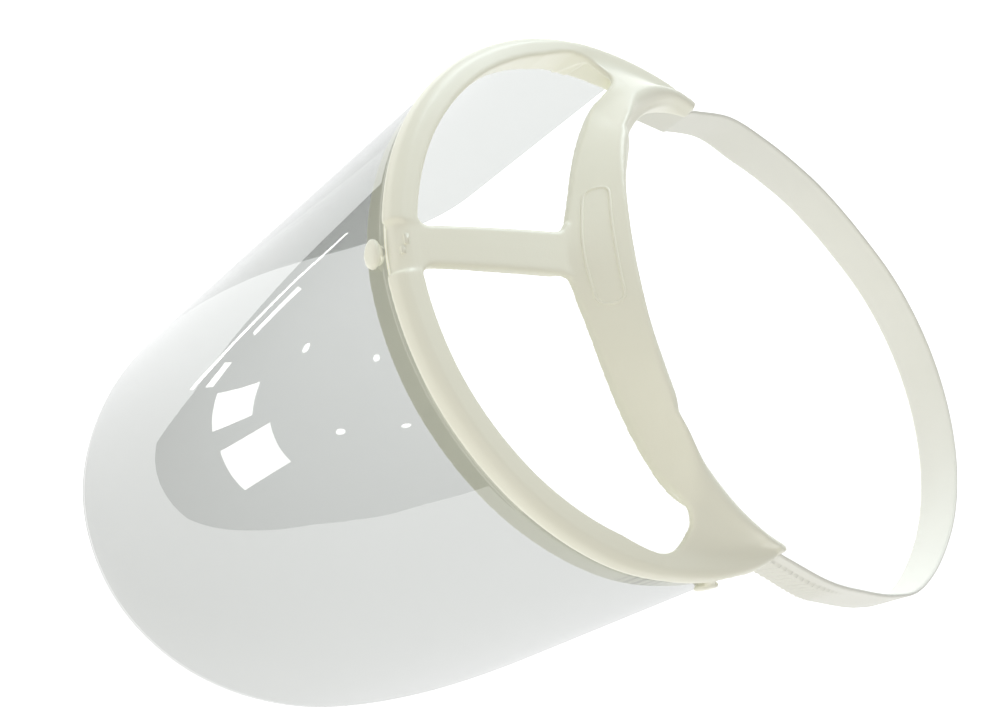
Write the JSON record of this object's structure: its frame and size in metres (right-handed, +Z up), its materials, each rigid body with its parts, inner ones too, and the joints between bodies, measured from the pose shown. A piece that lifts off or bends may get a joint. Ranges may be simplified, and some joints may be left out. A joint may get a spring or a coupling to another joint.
{
  "type": "face shield",
  "caption": "Open moulded head frame carrying a clear wrap-round film visor, held by a flexible toothed strap that ratchets through the temples.",
  "frame": {"origin": "on the symmetry plane between the temple tips, level with the lower edge of the rim's outer lip: roughly the middle of the head opening's front half", "axes": "+Z up as worn, -Y the way the wearer faces, +X towards the wearer's left"},
  "size_m": [0.1872, 0.2999, 0.259],
  "materials": {
    "frame_plastic": "smooth semi-gloss off-white injection moulding, slightly translucent",
    "strap_plastic": "smooth semi-gloss white flexible strip",
    "film_clear": "clear glossy polyester film"
  },
  "bodies": {
    "frame": {"visor_rim": "frame_plastic", "brow_band": "frame_plastic", "centre_strut": "frame_plastic", "temple_left": "frame_plastic", "temple_right": "frame_plastic", "centre_stud": "frame_plastic", "side_stud_left": "frame_plastic", "side_stud_right": "frame_plastic", "strap_keeper_left": "frame_plastic", "strap_keeper_right": "frame_plastic", "visor_film": "film_clear"},
    "strap": {"rear_strap": "strap_plastic"},
    "pawl_left": {"ratchet_pawl_left": "frame_plastic"},
    "pawl_right": {"ratchet_pawl_right": "frame_plastic"}
  },
  "joints": [
    {"name": "strap_adjust", "type": "slide", "parent": "frame", "child": "strap", "axis": [0, 0.9903, -0.1392], "range_m": [-0.008, 0.008]},
    {"name": "pawl_left_flex", "type": "hinge", "parent": "frame", "child": "pawl_left", "pos_m": [0.0799, -0.028, -0.0075], "axis": [0, 0, -1], "range_deg": [0, 8], "stiffness_Nm_per_rad": 0.02},
    {"name": "pawl_right_flex", "type": "hinge", "parent": "frame", "child": "pawl_right", "pos_m": [-0.0799, -0.028, -0.0075], "axis": [0, 0, 1], "range_deg": [0, 8], "stiffness_Nm_per_rad": 0.02}
  ]
}
